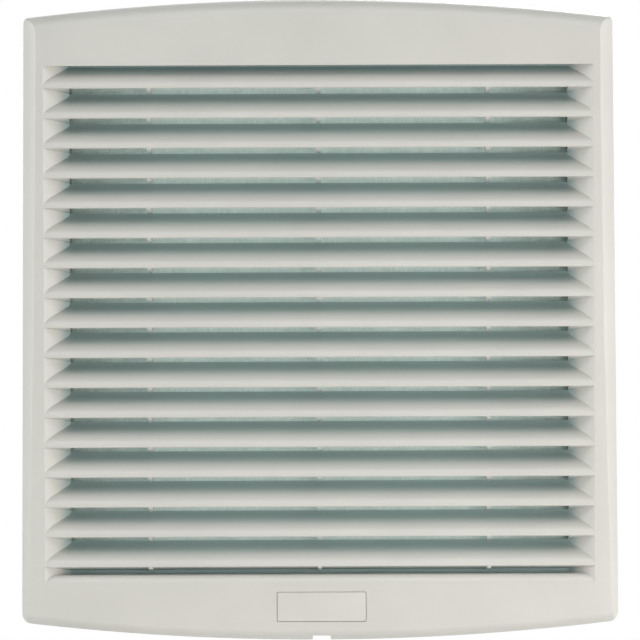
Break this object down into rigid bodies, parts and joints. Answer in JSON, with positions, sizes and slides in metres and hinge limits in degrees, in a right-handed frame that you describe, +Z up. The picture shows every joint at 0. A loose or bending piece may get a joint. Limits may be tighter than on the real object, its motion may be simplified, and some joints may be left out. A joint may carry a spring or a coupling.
{
  "type": "cabinet filter fan",
  "caption": "Cabinet filter fan: hinged louvre cover with crowned edges over a filter mat, a square clip-in frame, a funnel cowl and an axial fan with a wire guard.",
  "frame": {"origin": "centre of the square cut-out in the cabinet wall, in the plane of the wall's front face", "axes": "+Z up, +Y into the cabinet, so the louvre cover faces -Y, and +X to the right seen from the front"},
  "size_m": [0.249, 0.1199, 0.2676],
  "materials": {
    "cover_plastic": "pale warm grey moulded plastic, finely satin",
    "plate_plastic": "pale warm grey plate, smooth satin",
    "frame_plastic": "pale grey moulded plastic, satin",
    "filter_fibre": "loose grey-green polyester fibre mat",
    "gasket_foam": "black closed-cell foam",
    "clip_plastic": "dark grey glass-filled plastic",
    "pin_steel": "plain ground steel",
    "screw_steel": "zinc-plated steel",
    "bearing_steel": "polished bearing steel",
    "stator_steel": "varnished steel sheets",
    "winding_copper": "enamelled copper wire",
    "rotor_steel": "black coated steel cup",
    "impeller_plastic": "black glass-filled plastic",
    "housing_casting": "black coated die-cast aluminium",
    "guard_wire": "bright nickel-plated wire",
    "block_plastic": "white nylon",
    "grommet_rubber": "black rubber",
    "lead_brown": "brown insulation",
    "lead_blue": "blue insulation",
    "lead_green": "green and yellow insulation",
    "tag_brass": "tinned brass"
  },
  "bodies": {
    "frame": {"base_frame": "frame_plastic", "filter_grid": "frame_plastic", "filter_mat": "filter_fibre", "panel_gasket": "gasket_foam", "panel_clip_pin_1": "pin_steel", "panel_clip_pin_2": "pin_steel", "panel_clip_pin_3": "pin_steel", "panel_clip_pin_4": "pin_steel", "fan_cowl": "frame_plastic", "cowl_screw_1": "screw_steel", "cowl_screw_2": "screw_steel", "cowl_screw_3": "screw_steel", "cowl_screw_4": "screw_steel", "fan_housing": "housing_casting", "bearing_front": "bearing_steel", "bearing_rear": "bearing_steel", "stator_core": "stator_steel", "winding_front": "winding_copper", "winding_rear": "winding_copper", "finger_guard": "guard_wire", "fan_bolt_1": "screw_steel", "fan_bolt_2": "screw_steel", "fan_bolt_3": "screw_steel", "fan_bolt_4": "screw_steel", "fan_nut_1": "screw_steel", "fan_nut_2": "screw_steel", "fan_nut_3": "screw_steel", "fan_nut_4": "screw_steel", "terminal_block": "block_plastic", "terminal_screw_1": "screw_steel", "terminal_screw_2": "screw_steel", "terminal_screw_3": "screw_steel", "lead_grommet": "grommet_rubber", "lead_live": "lead_brown", "lead_neutral": "lead_blue", "lead_earth": "lead_green", "earth_tag": "tag_brass", "earth_screw": "screw_steel"},
    "cover": {"front_cover": "cover_plastic", "badge_plate": "plate_plastic", "cover_hinge_pin_left": "pin_steel", "cover_hinge_pin_right": "pin_steel"},
    "rotor": {"motor_shaft": "pin_steel", "shaft_circlip": "pin_steel", "rotor_cup": "rotor_steel", "impeller": "impeller_plastic"},
    "clip_1": {"panel_clip_1": "clip_plastic"},
    "clip_2": {"panel_clip_2": "clip_plastic"},
    "clip_3": {"panel_clip_3": "clip_plastic"},
    "clip_4": {"panel_clip_4": "clip_plastic"}
  },
  "joints": [
    {"name": "cover_hinge", "type": "hinge", "parent": "frame", "child": "cover", "pos_m": [0, -0.008, 0.1283], "axis": [-1, 0, 0], "range_deg": [0, 90]},
    {"name": "rotor_spin", "type": "hinge", "parent": "frame", "child": "rotor", "pos_m": [0, 0.06, 0], "axis": [0, 1, 0], "continuous": true},
    {"name": "clip_1_swing", "type": "hinge", "parent": "frame", "child": "clip_1", "pos_m": [-0.1076, 0.018, 0.06], "axis": [0, 0, 1], "range_deg": [0, 15], "stiffness_Nm_per_rad": 0.3},
    {"name": "clip_2_swing", "type": "hinge", "parent": "frame", "child": "clip_2", "pos_m": [-0.1076, 0.018, -0.06], "axis": [0, 0, 1], "range_deg": [0, 15], "stiffness_Nm_per_rad": 0.3},
    {"name": "clip_3_swing", "type": "hinge", "parent": "frame", "child": "clip_3", "pos_m": [0.1076, 0.018, 0.06], "axis": [0, 0, -1], "range_deg": [0, 15], "stiffness_Nm_per_rad": 0.3},
    {"name": "clip_4_swing", "type": "hinge", "parent": "frame", "child": "clip_4", "pos_m": [0.1076, 0.018, -0.06], "axis": [0, 0, -1], "range_deg": [0, 15], "stiffness_Nm_per_rad": 0.3}
  ]
}
